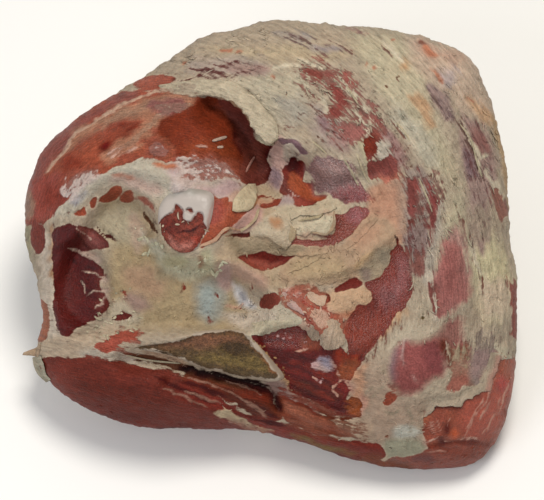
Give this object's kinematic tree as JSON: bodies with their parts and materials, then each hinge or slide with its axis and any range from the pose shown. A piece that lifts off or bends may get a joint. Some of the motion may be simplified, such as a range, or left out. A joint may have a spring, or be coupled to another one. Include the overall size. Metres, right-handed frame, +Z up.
{
  "type": "leg of veal",
  "caption": "Whole leg of veal without the shank, lying with its boned inner side up: muscles, fat cover, sawn pelvic bone.",
  "frame": {"origin": "under the middle of the leg's bounding box, on the surface it lies on", "axes": "+Z up, +X to the shank end, the long way of the leg, -Y to the side of the pelvic bone's sawn face"},
  "size_m": [0.3944, 0.3348, 0.2148],
  "materials": {
    "muscle_and_fat": "moist raw muscle under a dull cover of fat and membrane",
    "sawn_bone": "dull sawn bone with red marrow"
  },
  "bodies": {
    "root": {"meat": "muscle_and_fat", "ilium_bone": "sawn_bone", "pelvis_sawn_face": "sawn_bone"}
  },
  "joints": []
}
